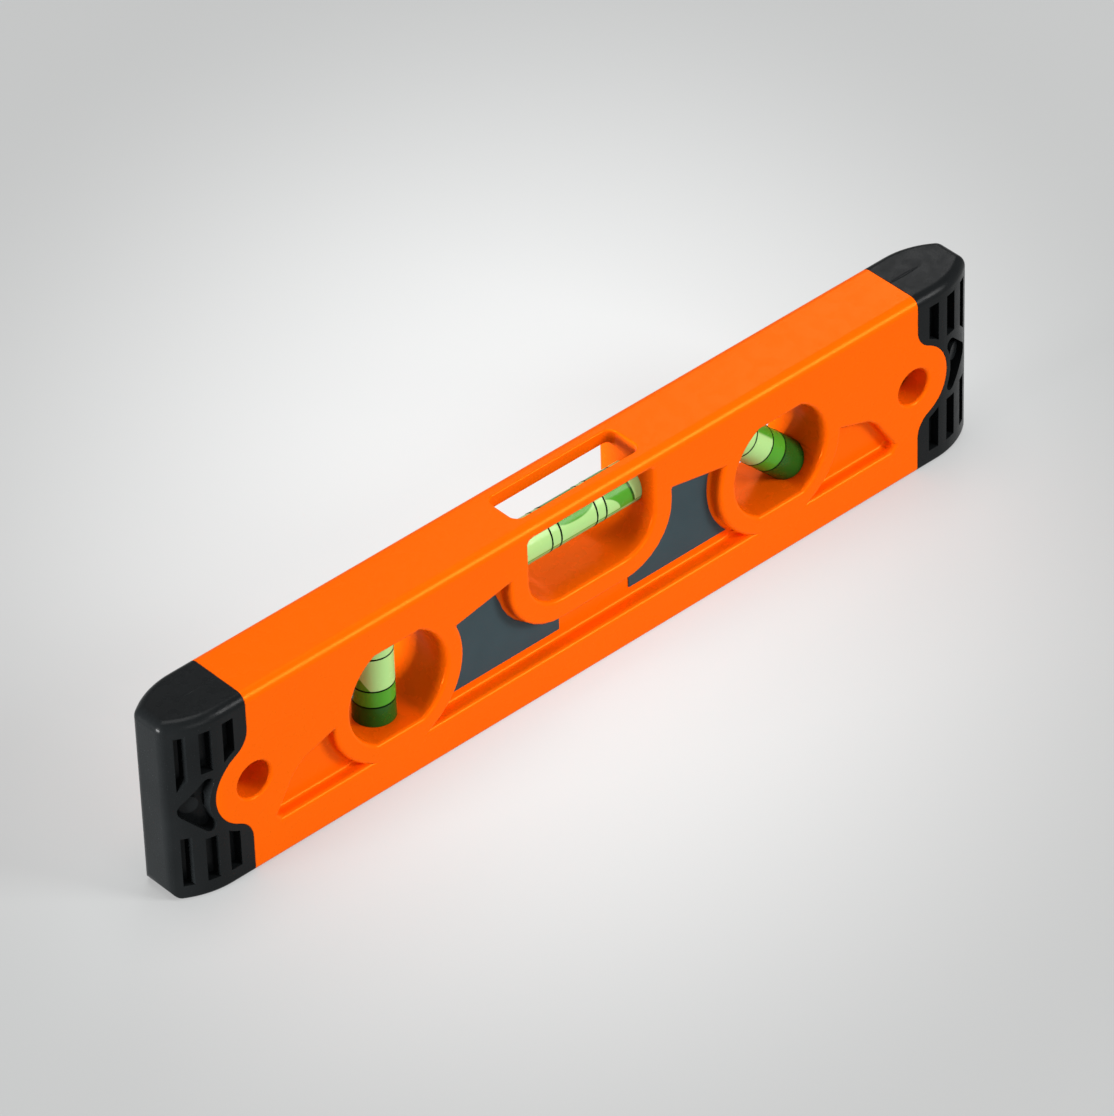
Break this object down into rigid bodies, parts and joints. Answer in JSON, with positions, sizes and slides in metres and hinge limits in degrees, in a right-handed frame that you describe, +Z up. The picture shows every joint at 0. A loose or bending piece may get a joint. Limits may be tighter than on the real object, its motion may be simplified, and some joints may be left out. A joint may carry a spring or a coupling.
{
  "type": "torpedo spirit level",
  "caption": "Magnetic torpedo spirit level with level, plumb and 45 degree vials in a moulded body, black end caps and hang holes.",
  "frame": {"origin": "middle of the base face", "axes": "+X along the length towards the end with the 45 degree vial, +Y from the labelled front face to the back face, +Z up from the base to the top face"},
  "size_m": [0.229, 0.0176, 0.047],
  "materials": {
    "body": "orange, fine texture",
    "end_cap": "black, satin",
    "vial_tube": "clear moulded tube with a green tint",
    "vial_liquid": "green liquid",
    "vial_plug": "green, clear",
    "vial_ring": "dark green print",
    "label": "slate blue film, satin",
    "magnet": "dark grey, dull"
  },
  "bodies": {
    "root": {"body": "body", "end_cap_left": "end_cap", "end_cap_right": "end_cap", "level_vial_tube": "vial_tube", "level_vial_liquid": "vial_liquid", "level_vial_plug_left": "vial_plug", "level_vial_plug_right": "vial_plug", "level_vial_rings": "vial_ring", "plumb_vial_tube": "vial_tube", "plumb_vial_liquid": "vial_liquid", "plumb_vial_plug_top": "vial_plug", "plumb_vial_plug_base": "vial_plug", "plumb_vial_rings": "vial_ring", "angle_vial_tube": "vial_tube", "angle_vial_liquid": "vial_liquid", "angle_vial_plug_top": "vial_plug", "angle_vial_plug_base": "vial_plug", "angle_vial_rings": "vial_ring", "label_left": "label", "label_right": "label", "magnet_left": "magnet", "magnet_right": "magnet"}
  },
  "joints": []
}
